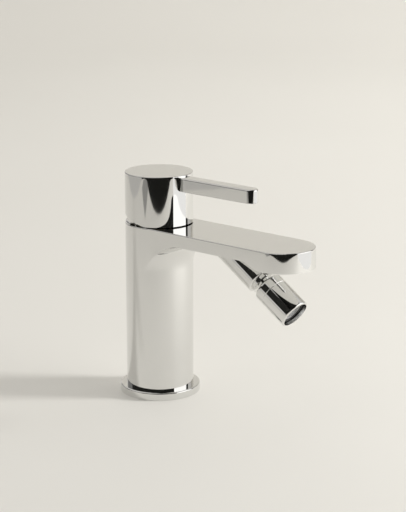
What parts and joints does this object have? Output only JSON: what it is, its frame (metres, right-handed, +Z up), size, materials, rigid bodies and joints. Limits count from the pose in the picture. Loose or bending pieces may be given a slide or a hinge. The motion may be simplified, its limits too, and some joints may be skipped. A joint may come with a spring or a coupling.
{
  "type": "single-lever bidet mixer",
  "caption": "Chrome deck bidet mixer: round body, flat spout with a round tip, ball-jointed outlet and a round cap with a straight lever bar.",
  "frame": {"origin": "centre of the base ring's underside, on the deck's surface", "axes": "+Z up along the round body; the spout, outlet and lever point to -Y; X across"},
  "size_m": [0.055, 0.154, 0.1535],
  "materials": {
    "chrome": "mirror-polished chrome plating",
    "raw_brass": "machined",
    "steel": "turned stainless steel",
    "white_plastic": "moulded, satin",
    "grey_plastic": "moulded, satin",
    "low_friction_plastic": "moulded, smooth",
    "grid_plastic": "moulded, smooth",
    "dark_plastic": "moulded, satin",
    "black_rubber": "moulded",
    "disc_ceramic": "lapped"
  },
  "bodies": {
    "fixed": {"body_casting": "chrome", "base_ring": "chrome", "base_gasket": "black_rubber", "inlet_block": "raw_brass", "block_seal": "black_rubber", "cartridge_base": "white_plastic", "port_seals": "black_rubber", "fixed_disc": "disc_ceramic", "cartridge_housing": "grey_plastic", "cartridge_nut": "raw_brass", "ball_nipple": "chrome", "nipple_washer": "black_rubber"},
    "turning": {"cartridge_rotor": "white_plastic", "rotor_seal": "black_rubber", "pivot_pin": "steel", "turning_collar": "chrome"},
    "lever": {"lever_spindle": "raw_brass", "lever_cap": "chrome", "lever_arm": "chrome", "grub_screw": "steel", "screw_cover": "chrome"},
    "disc": {"moving_disc": "disc_ceramic", "disc_carrier": "grey_plastic"},
    "liner": {"ball_liner": "low_friction_plastic"},
    "gasket": {"ball_gasket": "black_rubber"},
    "barrel": {"swivel_nut": "chrome", "aerator_housing": "chrome", "aerator_washer": "black_rubber", "aerator_cage": "dark_plastic", "aerator_screens": "steel", "aerator_grid": "grid_plastic"}
  },
  "joints": [
    {"name": "lever_turn", "type": "hinge", "parent": "fixed", "child": "turning", "pos_m": [0, 0, 0.115], "axis": [0, 0, 1], "range_deg": [-50, 50]},
    {"name": "lever_lift", "type": "hinge", "parent": "turning", "child": "lever", "pos_m": [0, 0, 0.115], "axis": [-1, 0, 0], "range_deg": [0, 15]},
    {"name": "disc_slide", "type": "slide", "parent": "turning", "child": "disc", "axis": [0, -1, 0], "range_m": [0, 0.00471]},
    {"name": "swivel_tilt", "type": "hinge", "parent": "fixed", "child": "liner", "pos_m": [0, -0.09574, 0.08873], "axis": [1, 0, 0], "range_deg": [-12, 12]},
    {"name": "swivel_swing", "type": "hinge", "parent": "liner", "child": "gasket", "pos_m": [0, -0.09574, 0.08873], "axis": [0, -0.5592, 0.829], "range_deg": [-12, 12]},
    {"name": "swivel_spin", "type": "hinge", "parent": "gasket", "child": "barrel", "pos_m": [0, -0.09574, 0.08873], "axis": [0, -0.829, -0.5592], "continuous": true}
  ],
  "couplings": [
    {"joint": "disc_slide", "follows": "lever_lift", "m_per_rad": 0.018}
  ]
}
